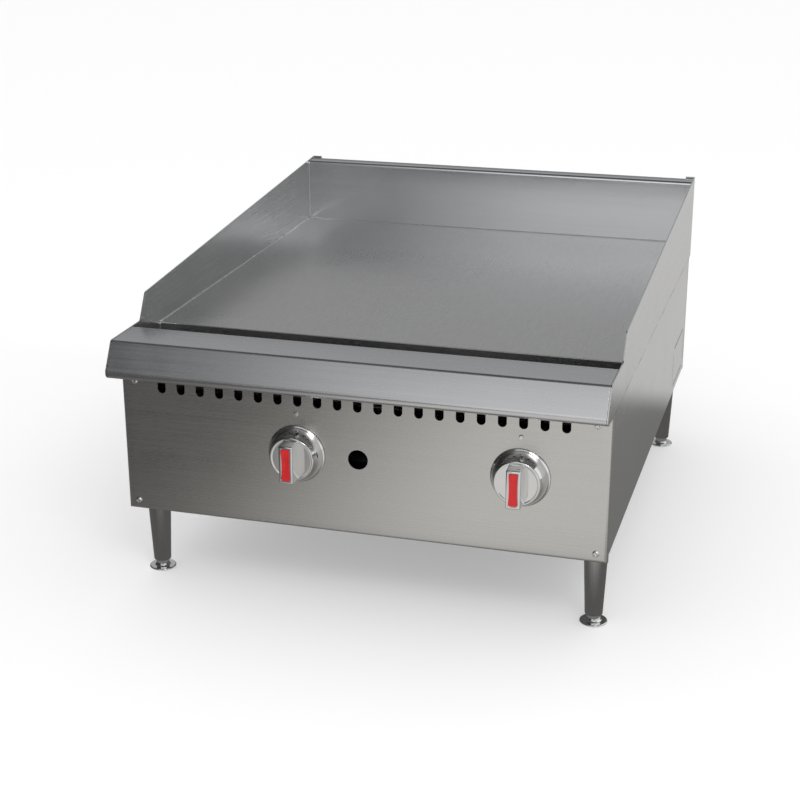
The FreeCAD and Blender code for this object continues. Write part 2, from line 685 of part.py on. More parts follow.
def radiant_shield():
    rear, front = d.shield_rear - 3, d.shield_front + 3
    places = [(rear, pan_top), (rear, d.radiant_z), (front, d.radiant_z), (front, pan_top)]
    folded_across("radiant_shield", places, d.radiant_half * 2)


def front_baffle():
    """Front wall of the burner box, with holes for the burners and a window for the pilots."""
    body = new_body("front_baffle")
    sketch = sketch_on(body, "XZ_Plane", -d.baffle_y)
    half = d.shield_x - 0.2
    draw_rectangle(sketch, (-half, pan_top), (half, under_plate - 0.2))
    pad(body, sketch, d.skin, backwards=True)
    holes = sketch_on(body, "XZ_Plane", -d.baffle_y)
    for x in CONTROLS.values():
        draw_circle(holes, (x, d.control_z), d.burner_hole)
    draw_rectangle(holes, (-d.window_half, d.control_z - d.window_radius),
                   (d.window_half, d.control_z + d.window_radius))
    pocket(body, holes, d.skin * 4, middle=True)


def burner_sweep(body, kind, radius, end_y):
    """Add or cut a round bar along the U: forward leg, half turn to the left, return leg."""
    turn = d.burner_turn
    start, far_bend = Vector(0, d.burner_start.value, 0), Vector(0, d.burner_bend_y.value, 0)
    across = Vector(-turn.value * 2, 0, 0)
    spine = sketch_on(body, "XY_Plane")
    straight = spine.addGeometry(Part.LineSegment(start, far_bend), False)
    circle = Part.Circle(far_bend + across / 2, Vector(0, 0, 1), turn.value)
    bend = spine.addGeometry(Part.ArcOfCircle(circle, 0, math.pi), False)
    last = Vector(across.x, end_y.value, 0)
    back = spine.addGeometry(Part.LineSegment(far_bend + across, last), False)
    spine.addConstraint(Sketcher.Constraint("Coincident", straight, 2, bend, 1))
    spine.addConstraint(Sketcher.Constraint("Coincident", bend, 2, back, 1))
    fix_point(spine, straight, 1, (ZERO, d.burner_start))
    fix_point(spine, straight, 2, (ZERO, d.burner_bend_y))
    fix_point(spine, bend, 3, (-turn, d.burner_bend_y))
    fix_point(spine, back, 2, (turn * -2, end_y))
    ring = sketch_on(body, "XZ_Plane", -d.burner_start)
    draw_circle(ring, (ZERO, ZERO), radius)
    feature = body.newObject(f"PartDesign::{kind}Pipe", body.Label + "_" + kind.lower())
    feature.Profile = ring
    feature.Spine = (spine, ["Edge1", "Edge2", "Edge3"])
    doc.recompute()


def burner(name, x):
    """U-shaped tube burner: mixer head, plain tube through the baffle, two ported legs."""
    body = new_body(f"{name}_burner", x, 0, d.control_z)
    tube = d.burner_radius
    mixer_y = d.burner_start - 2
    burner_sweep(body, "Additive", tube, d.burner_end_y)
    head = sketch_on(body, "XZ_Plane", -mixer_y)
    draw_circle(head, (ZERO, ZERO), d.mixer_radius)
    pad(body, head, d.mixer_length, backwards=True)
    burner_sweep(body, "Subtractive", tube - d.burner_wall, d.burner_end_y + d.burner_wall)
    chamber = sketch_on(body, "XZ_Plane", -(mixer_y + d.burner_wall))
    draw_circle(chamber, (ZERO, ZERO), d.mixer_radius - d.burner_wall)
    pocket(body, chamber, d.mixer_length - d.burner_wall * 2)
    mouth = sketch_on(body, "XZ_Plane", -mixer_y)
    draw_circle(mouth, (ZERO, ZERO), d.hood_radius + 0.5)
    pocket(body, mouth, d.skin * 4, middle=True)
    air = sketch_on(body, "XY_Plane")
    air_front = mixer_y + d.air_setback
    draw_rectangle(air, (-d.air_slot, air_front), (d.air_slot, air_front + d.air_window))
    pocket(body, air, d.mixer_radius * 3, middle=True)
    for leg_x in (ZERO, d.burner_turn * -2):
        port = sketch_on(body, "XY_Plane", tube - d.burner_wall * 2)
        draw_circle(port, (leg_x, d.port_first), d.port_hole)
        hole = pocket(body, port, d.burner_wall * 4, middle=True)
        repeat(body, hole, (port, ["V_Axis"]), d.port_pitch, d.port_count)


def air_shutter(name, x):
    """Windowed ring that turns on the mixer head to set the burner's air."""
    inner = d.mixer_radius + d.shutter_gap
    outer = inner + d.shutter_wall
    y = d.burner_start + 1
    profile = [(ZERO, inner), (d.shutter_length, inner), (d.shutter_length, outer), (ZERO, outer)]
    body = turned(f"{name}_air_shutter", profile, x, y, d.control_z)
    window = sketch_on(body, "XY_Plane")
    draw_rectangle(window, (-d.air_slot, d.shutter_edge), (d.air_slot, d.shutter_edge + d.air_window))
    pocket(body, window, outer * 3, middle=True)


def burner_rear_bracket():
    """Angle that stands on the radiant shield and carries the rear of both burners."""
    rest = d.control_z - d.burner_radius - d.seam
    body = new_body("burner_rear_bracket")
    sketch = sketch_on(body, "YZ_Plane")
    low = d.radiant_z + 0.1
    front = d.burner_bend_y
    rear = front + d.bracket_foot
    draw_polygon(sketch, [(front, low), (rear, low), (rear, low + d.skin), (front + d.skin, low + d.skin),
                          (front + d.skin, rest), (front, rest)])
    pad(body, sketch, d.radiant_half * 2, middle=True)


# ---------------------------------------------------------------- gas train

def manifold_pipe():
    """Pipe across the front, plugged at the left, with holes for the valves and pilots in its top."""
    end_x = d.supply_x - (d.elbow_reach - d.socket_depth)
    length = end_x + d.manifold_left
    low_x = -d.manifold_left
    y, z = d.manifold_y, d.manifold_z
    outer = cylinder(d.pipe_radius, length, low_x, y, z, "x")
    tools = [cylinder(pipe_bore, length + 2, low_x - 1, y, z, "x")]
    for x in CONTROLS.values():
        tools.append(cylinder(d.stub_radius + 0.1, d.pipe_radius * 2, x, y, z))
    for side in SIDES.values():
        tools.append(cylinder(d.pilot_head + 0.1, d.pipe_radius * 2, d.pilot_x * side, y, z))
    node(cut(outer, *tools), "manifold_pipe")


def hexagon(radius, height, x, y, z, turn):
    item = doc.addObject("Part::Prism", "hexagon")
    item.Polygon = 6
    bind(item, "Circumradius", radius)
    bind(item, "Height", height)
    item.Placement = FreeCAD.Placement(Vector(), turn)
    return seat(item, x, y, z)


def manifold_plug():
    low_x = -d.manifold_left
    thread = cylinder(pipe_bore - 0.05, d.plug_thread, low_x - 1, d.manifold_y, d.manifold_z, "x")
    head = hexagon(d.pipe_radius, d.plug_head, low_x - d.plug_head - 0.2, d.manifold_y, d.manifold_z,
                   Rotation(Vector(0, 1, 0), 90))
    node(fuse(thread, head), "manifold_plug")


def ball(radius, x, y, z):
    item = doc.addObject("Part::Sphere", "ball")
    bind(item, "Radius", radius)
    return seat(item, x, y, z)


def pipe_elbow():
    """Elbow between the manifold, along x, and the supply pipe, along y."""
    x, y, z = d.supply_x, d.manifold_y, d.manifold_z
    corner = ball(d.elbow_radius, x, y, z)
    solid = fuse(corner, cylinder(d.elbow_radius, d.elbow_reach, x - d.elbow_reach, y, z, "x"),
                 cylinder(d.elbow_radius, d.elbow_reach, x, y, z, "y"))
    depth = d.socket_depth
    tools = [cylinder(pipe_bore, d.elbow_reach, x - d.elbow_reach, y, z, "x"),
             cylinder(pipe_bore, d.elbow_reach, x, y, z, "y"),
             cylinder(d.pipe_radius, depth, x - d.elbow_reach, y, z, "x"),
             cylinder(d.pipe_radius, depth + 1, x, y + (d.elbow_reach - depth), z, "y")]
    node(cut(solid, ball(pipe_bore, x, y, z), *tools), "pipe_elbow")


def supply_pipe():
    start = d.manifold_y + d.elbow_reach - d.socket_depth
    length = d.collar_start + d.socket_depth - start
    outer = cylinder(d.pipe_radius, length, d.supply_x, start, d.manifold_z, "y")
    inner = cylinder(pipe_bore, length + 2, d.supply_x, start - 1, d.manifold_z, "y")
    node(cut(outer, inner), "supply_pipe")


def gas_inlet_fitting():
    """Collar through the rear panel that ends in the pipe stub the gas line screws onto."""
    start = d.collar_start
    shoulder = start + d.socket_depth
    collar_end = d.body_depth + d.collar_proud
    tip = d.body_depth + d.inlet_reach
    profile = [(start, d.pipe_radius), (shoulder, d.pipe_radius), (shoulder, pipe_bore), (tip, pipe_bore),
               (tip, d.pipe_radius), (collar_end, d.pipe_radius), (collar_end, d.collar_radius),
               (start, d.collar_radius)]
    turned("gas_inlet_fitting", profile, d.supply_x, 0, d.manifold_z)


def valve_body(name, x):
    """Tapered-plug gas valve: neck, bonnet, body and outlet, with a stub into the manifold."""
    stem = d.stem_radius + d.stem_clearance
    front = d.skin * 2
    taper = d.valve_taper
    profile = [(front, stem), (d.valve_seat, stem), (d.valve_seat, d.gas_bore),
               (d.valve_outlet_end, d.gas_bore), (d.valve_outlet_end, d.outlet_radius),
               (d.valve_body_end + taper, d.outlet_radius), (d.valve_body_end, d.valve_radius),
               (d.valve_bonnet_end + taper, d.valve_radius), (d.valve_bonnet_end, d.bonnet_radius),
               (d.valve_neck_end, d.bonnet_radius), (d.valve_neck_end, d.neck_radius),
               (front, d.neck_radius)]
    body = turned(f"{name}_valve_body", profile, x, 0, d.control_z)
    rise = d.control_z - d.manifold_z
    stub = sketch_on(body, "XY_Plane", pipe_bore - rise)
    draw_circle(stub, (ZERO, d.manifold_y), d.stub_radius)
    pad(body, stub, rise - pipe_bore - d.gas_bore * 2)
    feed = sketch_on(body, "XY_Plane")
    draw_circle(feed, (ZERO, d.manifold_y), d.gas_bore)
    pocket(body, feed, rise)


def valve_stem(name, x):
    """Stem that the knob turns; it runs in the valve body and has a flat for the knob."""
    round_stem = cylinder(d.stem_radius, d.stem_out + d.stem_back, x, -d.stem_out, d.control_z, "y")
    reach = d.stem_radius * 2
    flat = box((x - reach, -d.stem_out - 1, d.control_z + d.stem_radius / 2),
               (x + reach, -reach, d.control_z + reach))
    node(cut(round_stem, flat), f"{name}_valve_stem")


def burner_orifices():
    """Hoods on the valves' outlets, each with a fine hole that the gas jets through."""
    pieces = []
    start = d.valve_outlet_end + 0.2
    shoulder = start + d.orifice_barrel
    back = Rotation(Vector(1, 0, 0), -90)
    for x in CONTROLS.values():
        z = d.control_z
        barrel = cylinder(d.hood_radius, d.orifice_barrel, x, start, z, "y")
        tip = cone(d.hood_radius, d.stem_radius, d.hood_end - shoulder, x, shoulder, z, back)
        jet = cylinder(d.orifice, d.hood_end - start + 2, x, start - 1, z, "y")
        entry = cylinder(d.gas_bore, d.orifice_thread, x, start - 1, z, "y")
        pieces.append(cut(fuse(barrel, tip), jet, entry))
    group("burner_orifices", pieces)


def pilots():
    """Two standing pilots, one beside each burner, fed from the manifold by rigid tubes."""
    valves, tubes, heads = [], [], []
    base = d.manifold_z + pipe_bore
    y, z = d.manifold_y, d.pilot_z
    start = y + d.pilot_start
    length = d.pilot_y + d.pilot_entry - start
    for side in SIDES.values():
        x = d.pilot_x * side
        post = cylinder(d.pilot_head, z + d.pilot_post_over - base, x, y, base)
        arm = cylinder(d.pilot_tube + d.pilot_wall, d.pilot_arm, x, y, z, "y")
        socket = cylinder(d.pilot_tube, d.pilot_socket, x, start, z, "y")
        valves.append(cut(fuse(post, arm), socket))
        outer = cylinder(d.pilot_tube, length, x, start, z, "y")
        tubes.append(cut(outer, cylinder(d.pilot_tube / 2, length + 2, x, start - 1, z, "y")))
        head = cylinder(d.pilot_head, d.pilot_length, x, d.pilot_y, z, "y")
        seat_hole = cylinder(d.pilot_tube, d.pilot_entry, x, d.pilot_y, z, "y")
        flame_hole = cylinder(d.orifice, d.pilot_length + 2, x, d.pilot_y, z, "y")
        heads.append(cut(head, seat_hole, flame_hole))
    group("pilot_valves", valves)
    group("pilot_tubes", tubes)
    group("pilot_heads", heads)


def pilot_bracket():
    """Strip under the pilot heads, carried on the baffle below its window."""
    low_z = d.control_z - d.window_radius - d.pilot_strip_drop
    shelf_top = low_z + d.pilot_strip
    shelf_low = shelf_top - d.skin
    head_low = d.pilot_z - d.pilot_head - 0.1
    back = d.baffle_y + d.skin
    wall = box((-d.window_half, back, low_z), (d.window_half, back + d.skin, shelf_top))
    shelf = box((-d.window_half, back, shelf_low), (d.window_half, d.pilot_y + d.pilot_shelf, shelf_top))
    post_y = d.pilot_y + d.pilot_post_start
    half = d.pilot_post_half
    posts = []
    for side in SIDES.values():
        x = d.pilot_x * side
        posts.append(box((x - half, post_y, shelf_low), (x + half, post_y + d.pilot_post_thick, head_low)))
    node(fuse(wall, shelf, *posts), "pilot_bracket")


# ---------------------------------------------------------------- grease drawer

def grease_chute():
    """Flanged tube under the trough's drain hole, down to just above the drawer."""
    top = d.trough_floor - 0.1
    under = top - d.skin
    bore = d.drain_radius
    outside = d.drain_radius + d.skin
    profile = [(d.chute_end, bore), (top, bore), (top, d.chute_flange), (under, d.chute_flange),
               (under, outside), (d.chute_end, outside)]
    turned("grease_chute", profile, -d.drain_x, d.drain_y, 0, upright=True)


def grease_drawer():
    """Open pan that pulls out to the left, with a finger slot in its face."""
    body = new_body("grease_drawer")
    sketch = sketch_on(body, "XY_Plane", d.drawer_floor)
    draw_rectangle(sketch, (-inner_face, d.drawer_front), (-d.drawer_inner_end, d.drawer_rear))
    pad(body, sketch, d.drawer_top - d.drawer_floor)
    hollow(body, d.skin, lambda middle, normal: normal.z > 0.99)
    slot = sketch_on(body, "YZ_Plane", -inner_face)
    centre = (d.drawer_front + d.drawer_rear) / 2
    end_radius = d.finger_tall / 2
    reach = d.finger_wide / 2 - end_radius
    draw_slot(slot, (centre - reach, d.finger_z), (centre + reach, d.finger_z), end_radius)
    pocket(body, slot, d.skin * 4, middle=True)


def drawer_runners():
    """Two folded rails that the drawer slides on, standing on the bottom pan."""
    pieces = []
    low_x = -(inner_face - d.skin - d.runner_inset)
    high_x = -(d.drawer_inner_end + d.runner_end)
    ledge_top = d.drawer_floor - d.seam
    for face, way in ((d.drawer_front - d.drawer_gap, 1), (d.drawer_rear + d.drawer_gap, -1)):
        far = face + d.runner_reach * way
        wall = face - d.skin * way
        low_y, high_y = (wall, face) if way > 0 else (face, wall)
        ledge = ((wall, far) if way > 0 else (far, wall))
        web = box((low_x, low_y, d.runner_foot), (high_x, high_y, d.runner_top))
        shelf = box((low_x, ledge[0], ledge_top - d.skin), (high_x, ledge[1], ledge_top))
        foot = box((high_x - d.runner_reach, low_y, pan_top), (high_x, high_y, d.runner_foot))
        pieces.append(fuse(web, shelf, foot))
    group("drawer_runners", pieces)


# ---------------------------------------------------------------- legs and feet

def leg(name, side, y):
    """Tapered leg with its mounting stud on top and a bore for the levelling foot below."""
    top = d.skin
    end = -d.leg_end
    profile = [(end, d.leg_bore), (-d.leg_bore_top, d.leg_bore), (-d.leg_bore_top, ZERO),
               (d.leg_stud_top, ZERO), (d.leg_stud_top, d.stud_radius), (top, d.stud_radius),
               (top, d.leg_top_radius), (ZERO, d.leg_top_radius), (end, d.leg_end_radius)]
    turned(f"{name}_leg", profile, d.leg_x * side, y, 0, upright=True)


def foot(name, side, y):
    """Levelling foot: a round stem inside the leg and a flange that stands on the counter."""
    floor = -d.leg_height
    flange = floor + d.foot_thick
    rim, edge, blend = d.foot_radius, d.foot_edge, d.foot_blend
    profile = [(floor, ZERO), (-d.foot_stem_top, ZERO), (-d.foot_stem_top, d.foot_neck),
               (flange + blend, d.foot_neck), (flange, d.foot_neck + blend), (flange, rim - edge),
               (flange - edge, rim), (floor + edge, rim), (floor, rim - edge)]
    turned(f"{name}_foot", profile, d.leg_x * side, y, 0, upright=True)


def leg_hardware():
    """Stiffening plate and nut above each leg, inside the bottom pan."""
    plates, nuts = [], []
    half_wide, half_long = d.mount_wide / 2, d.mount_long / 2
    plate_top = pan_top + d.mount_plate
    drill = d.leg_stud_top * 2
    for side, y in LEG_PLACES.values():
        x = d.leg_x * side
        plate = box((x - half_wide, y - half_long, pan_top), (x + half_wide, y + half_long, plate_top))
        plates.append(cut(plate, cylinder(d.stud_radius + d.seam, drill, x, y, 0)))
        nut = hexagon(d.nut_radius, d.nut_thick, x, y, plate_top, Rotation())
        nuts.append(cut(nut, cylinder(d.stud_radius + 0.05, drill, x, y, 0)))
    group("leg_mount_plates", plates)
    group("leg_nuts", nuts)


# ---------------------------------------------------------------- controls and fasteners

def knob(name, x):
    """Chromed knob: conical skirt, flat disc and a raised grip bar with a recess for its insert."""
    back = -d.knob_gap
    disc = -d.knob_disc_y
    rim = d.knob_rim
    wall = d.skin * 2
    edge = d.disc_edge
    rim_front = back - d.rim_edge
    profile = [(back, d.stem_radius), (back, d.knob_hub), (disc + wall, d.knob_hub),
               (disc + wall, d.knob_disc - wall), (back, rim - wall), (back, rim), (rim_front, rim),
               (rim_front - 0.4, rim - d.rim_step), (disc + 1, d.knob_disc + edge),
               (disc, d.knob_disc - edge), (disc, d.stem_radius)]
    body = turned(f"{name}_knob", profile, x, 0, d.control_z)
    grip = sketch_on(body, "XZ_Plane", d.knob_disc_y)
    half_wide, half_long = d.grip_wide / 2, d.grip_long / 2
    draw_rectangle(grip, (-half_wide, -half_long), (half_wide, half_long))
    pad(body, grip, d.grip_out - d.knob_disc_y)
    front = -d.grip_out.value
    round_edges(body, d.grip_round, lambda middle, way: middle.y < disc.value - 1 and (
        abs(way.y) > 0.99 or abs(middle.y - front) < 0.01))
    recess = sketch_on(body, "XZ_Plane", d.grip_out)
    recess_wide, recess_long = d.insert_wide / 2, d.insert_long / 2
    draw_rectangle(recess, (-recess_wide, -recess_long), (recess_wide, recess_long))
    pocket(body, recess, d.insert_sunk)
    socket = sketch_on(body, "XZ_Plane")
    draw_circle(socket, (ZERO, ZERO), d.stem_radius)
    pocket(body, socket, d.stem_out, backwards=True)


def knob_insert(name, x):
    body = new_body(f"{name}_knob_insert", x, 0, d.control_z)
    sketch = sketch_on(body, "XZ_Plane", d.grip_out - d.insert_sunk)
    draw_rectangle(sketch, (0.05 - d.insert_wide / 2, 0.05 - d.insert_long / 2),
                   (d.insert_wide / 2 - 0.05, d.insert_long / 2 - 0.05))
    pad(body, sketch, d.insert_sunk + d.insert_proud)


def fasteners():
    studs = []
    for x in CONTROLS.values():
        head = cone(d.stud_head, d.stud_tip, d.stud_rise, x, 0, d.stud_z, Rotation(Vector(1, 0, 0), 90))
        studs.append(fuse(head, cylinder(d.stud_shank, d.stud_reach, x, 0, d.stud_z, "y")))
    group("knob_index_studs", studs)
    front = []
    rear = []
    rear_face = d.body_depth - d.skin
    for side in SIDES.values():
        front.append(screw(d.panel_screw_low_x * side, ZERO, d.panel_screw_low_z))
        front.append(screw(d.panel_screw_high_x * side, ZERO, d.panel_screw_high_z))
        for z in REAR_SCREW_HEIGHTS:
            rear.append(screw(d.rear_screw_x * side, rear_face, z, backwards=True))
        for z in GUARD_SCREW_HEIGHTS:
            rear.append(screw(d.guard_screw_x * side, d.body_depth, z, backwards=True))
    group("front_panel_screws", front)
    group("rear_panel_screws", rear)


# ---------------------------------------------------------------- build, check and write

front_panel()
left_side_panel()
right_side_panel()
rear_panel()
bottom_pan()
front_rail()
back_splash()
grease_trough()
griddle_plate()
plate_support_angles()
radiant_shield()
front_baffle()
burner_rear_bracket()
for side_name, side_sign in SIDES.items():
    splash_guard(side_name, side_sign)
    heat_shield(side_name, side_sign)
for control_name, control_x in CONTROLS.items():
    burner(control_name, control_x)
    air_shutter(control_name, control_x)
    valve_body(control_name, control_x)
    valve_stem(control_name, control_x)
    knob(control_name, control_x)
    knob_insert(control_name, control_x)
burner_orifices()
manifold_pipe()
manifold_plug()
pipe_elbow()
supply_pipe()
gas_inlet_fitting()
pilots()
pilot_bracket()
grease_chute()
grease_drawer()
drawer_runners()
for place_name, (leg_side, leg_y) in LEG_PLACES.items():
    leg(place_name, leg_side, leg_y)
    foot(place_name, leg_side, leg_y)
leg_hardware()
fasteners()
doc.recompute()

for item in doc.Objects:
    if "Invalid" in item.State or "Error" in item.State:
        raise RuntimeError(f"{item.Label} failed: {item.State}")

os.makedirs("parts", exist_ok=True)
whole = FreeCAD.BoundBox()
for item in node_objects:
    shape = item.Shape
    if shape.isNull() or not shape.isValid() or not shape.Solids:
        raise RuntimeError(f"{item.Label} has no valid solid")
    whole.add(shape.BoundBox)
    shape.exportStep(f"parts/{item.Label}.step")
print(len(node_objects), "pieces, box", whole)
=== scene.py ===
import math

import bmesh
import bpy
from mathutils import Matrix, Vector

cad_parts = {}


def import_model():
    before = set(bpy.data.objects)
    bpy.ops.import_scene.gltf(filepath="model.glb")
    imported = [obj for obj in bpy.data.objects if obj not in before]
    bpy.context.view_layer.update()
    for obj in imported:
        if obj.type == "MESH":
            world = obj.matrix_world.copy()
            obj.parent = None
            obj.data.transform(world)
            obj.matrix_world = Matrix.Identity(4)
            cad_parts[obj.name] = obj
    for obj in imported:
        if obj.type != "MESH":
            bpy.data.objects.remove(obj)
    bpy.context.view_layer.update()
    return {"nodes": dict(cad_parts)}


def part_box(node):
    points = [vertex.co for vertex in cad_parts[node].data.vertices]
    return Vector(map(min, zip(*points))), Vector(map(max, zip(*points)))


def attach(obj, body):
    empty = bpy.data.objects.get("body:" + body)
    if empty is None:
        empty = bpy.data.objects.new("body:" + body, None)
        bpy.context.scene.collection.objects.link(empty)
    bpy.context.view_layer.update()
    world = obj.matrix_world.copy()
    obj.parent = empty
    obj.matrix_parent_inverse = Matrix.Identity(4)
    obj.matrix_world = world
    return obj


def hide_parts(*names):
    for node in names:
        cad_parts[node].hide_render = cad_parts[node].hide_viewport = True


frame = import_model()
MM = 0.001
NODES = frame["nodes"]
CONTROL_SIDES = ("left", "right")
EDGE_BREAK = 0.35 * MM
SHARP_ANGLE = 30


# ---------------------------------------------------------------- materials

class Shader:
    """A material under construction: short calls that add and join nodes."""

    def __init__(self, name, colour, metallic, roughness, **inputs):
        self.material = bpy.data.materials.new(name)
        self.material.use_nodes = True
        self.tree = self.material.node_tree
        self.surface = self.tree.nodes["Principled BSDF"]
        self.set(self.surface, "Base Color", (*colour, 1.0))
        self.set(self.surface, "Metallic", metallic)
        self.set(self.surface, "Roughness", roughness)
        for name_of_input, value in inputs.items():
            self.set(self.surface, name_of_input.replace("_", " "), value)
        self.place = self.add("ShaderNodeTexCoord").outputs["Object"]

    def add(self, kind, **settings):
        made = self.tree.nodes.new(kind)
        for name, value in settings.items():
            setattr(made, name, value)
        return made

    def set(self, made, name, value):
        made.inputs[name].default_value = value

    def join(self, output, made, name):
        self.tree.links.new(output, made.inputs[name])

    def noise(self, scale, detail=3.0, rough=0.55, stretch=None):
        """Noise value; stretch is the scale along each axis, for grain."""
        vector = self.place
        if stretch is not None:
            mapping = self.add("ShaderNodeMapping")
            self.set(mapping, "Scale", stretch)
            self.join(vector, mapping, "Vector")
            vector = mapping.outputs["Vector"]
        made = self.add("ShaderNodeTexNoise")
        self.set(made, "Scale", scale)
        self.set(made, "Detail", detail)
        self.set(made, "Roughness", rough)
        self.join(vector, made, "Vector")
        return made.outputs["Fac"]

    def remap(self, value, low_in, high_in, low, high, smooth=False):
        made = self.add("ShaderNodeMapRange")
        made.interpolation_type = "SMOOTHSTEP" if smooth else "LINEAR"
        limits = {"From Min": low_in, "From Max": high_in, "To Min": low, "To Max": high}
        for name, number in limits.items():
            self.set(made, name, number)
        self.join(value, made, "Value")
        return made.outputs["Result"]

    def maths(self, kind, first, second):
        made = self.add("ShaderNodeMath", operation=kind)
        for index, value in enumerate((first, second)):
            if isinstance(value, (int, float)):
                made.inputs[index].default_value = value
            else:
                self.tree.links.new(value, made.inputs[index])
        return made.outputs["Value"]

    def axis(self, name):
        """The x, y or z of the point that is shaded, in metres."""
        made = self.add("ShaderNodeSeparateXYZ")
        self.join(self.place, made, "Vector")
        return made.outputs[name.upper()]

    def tint(self, colour, factor):
        """Base colour times a factor that changes over the surface."""
        made = self.add("ShaderNodeMix", data_type="RGBA", blend_type="MULTIPLY")
        made.inputs["Factor"].default_value = 1.0
        made.inputs["A"].default_value = (*colour, 1.0)
        grey = self.add("ShaderNodeCombineColor")
        for channel in ("Red", "Green", "Blue"):
            self.join(factor, grey, channel)
        self.join(grey.outputs["Color"], made, "B")
        self.join(made.outputs["Result"], self.surface, "Base Color")

    def bump(self, height, strength, distance):
        made = self.add("ShaderNodeBump")
        self.set(made, "Strength", strength)
        self.set(made, "Distance", distance)
        self.join(height, made, "Height")
        self.join(made.outputs["Normal"], self.surface, "Normal")


GRAIN = {"x": (3.0, 900.0, 900.0), "y": (900.0, 3.0, 900.0), "z": (900.0, 900.0, 3.0)}


def brushed(name, colour, roughness, grain="x", streak=0.04, smudge=0.05, strength=0.02):
    """Brushed sheet: long fine scratches along one axis, broader streaks and faint handling marks."""
    made = Shader(name, colour, 1.0, roughness)
    fine = made.noise(1.0, 4.0, 0.7, GRAIN[grain])
    wide = made.noise(1.0, 2.0, 0.5, tuple(value * 0.12 for value in GRAIN[grain]))
    marks = made.noise(9.0, 3.0, 0.6)
    tone = made.remap(fine, 0.3, 0.7, 1.0 - streak, 1.0 + streak)
    tone = made.maths("MULTIPLY", tone, made.remap(wide, 0.3, 0.7, 1.0 - streak * 0.5, 1.0 + streak * 0.5))
    tone = made.maths("MULTIPLY", tone, made.remap(marks, 0.3, 0.75, 1.0 - smudge * 0.5, 1.0 + smudge * 0.3))
    made.tint(colour, tone)
    polish = made.maths("ADD", made.remap(fine, 0.3, 0.7, roughness - 0.05, roughness + 0.06),
                        made.remap(marks, 0.35, 0.7, -smudge * 0.5, smudge * 0.6))
    made.join(polish, made.surface, "Roughness")
    made.bump(made.maths("ADD", fine, made.maths("MULTIPLY", wide, 0.5)), strength, 0.0004)
    return made.material


def ground_plate(name, colour):
    """Ground steel cooking surface: fine random grinding, soft mottling and a few darker patches."""
    made = Shader(name, colour, 1.0, 0.36)
    grind = made.noise(1.0, 4.0, 0.7, (260.0, 30.0, 260.0))
    grit = made.noise(700.0, 2.0, 0.6)
    patch = made.noise(4.2, 4.0, 0.55)
    tone = made.maths("MULTIPLY", made.remap(grind, 0.3, 0.7, 0.95, 1.05),
                      made.remap(patch, 0.3, 0.7, 0.93, 1.05))
    made.tint(colour, tone)
    polish = made.maths("ADD", made.remap(patch, 0.3, 0.7, 0.27, 0.36),
                        made.remap(grit, 0.3, 0.7, -0.03, 0.03))
    made.join(polish, made.surface, "Roughness")
    made.bump(made.maths("ADD", grind, made.maths("MULTIPLY", grit, 0.6)), 0.10, 0.0003)
    return made.material


def polished(name, colour, roughness, marks=0.04):
    """Plated or polished metal with faint wipe marks and a slightly uneven surface."""
    made = Shader(name, colour, 1.0, roughness)
    wipe = made.noise(38.0, 4.0, 0.65)
    wave = made.noise(120.0, 2.0, 0.5)
    polish = made.remap(wipe, 0.35, 0.75, roughness, roughness + marks)
    made.join(polish, made.surface, "Roughness")
    made.tint(colour, made.remap(wipe, 0.3, 0.8, 1.0, 0.93))
    made.bump(wave, 0.02, 0.0002)
    return made.material


def cast_or_painted(name, colour, roughness, metallic, grain_scale, strength):
    """Rough painted, cast or galvanised metal: mottled tone and a fine uneven skin."""
    made = Shader(name, colour, metallic, roughness)
    mottle = made.noise(grain_scale, 4.0, 0.6)
    skin = made.noise(grain_scale * 12.0, 2.0, 0.5)
    made.tint(colour, made.remap(mottle, 0.3, 0.7, 0.82, 1.12))
    made.join(made.remap(mottle, 0.3, 0.7, roughness - 0.08, roughness + 0.1), made.surface, "Roughness")
    made.bump(skin, strength, 0.0003)
    return made.material


def moulded(name, colour, roughness):
    """Glossy moulded plastic with a very fine skin texture."""
    made = Shader(name, colour, 0.0, roughness, Coat_Weight=0.08, Coat_Roughness=0.06)
    cloud = made.noise(60.0, 3.0, 0.5)
    skin = made.noise(900.0, 2.0, 0.5)
    made.tint(colour, made.remap(cloud, 0.3, 0.7, 0.85, 1.08))
    made.join(made.remap(cloud, 0.3, 0.7, roughness - 0.04, roughness + 0.06), made.surface, "Roughness")
    made.bump(skin, 0.06, 0.0002)
    return made.material


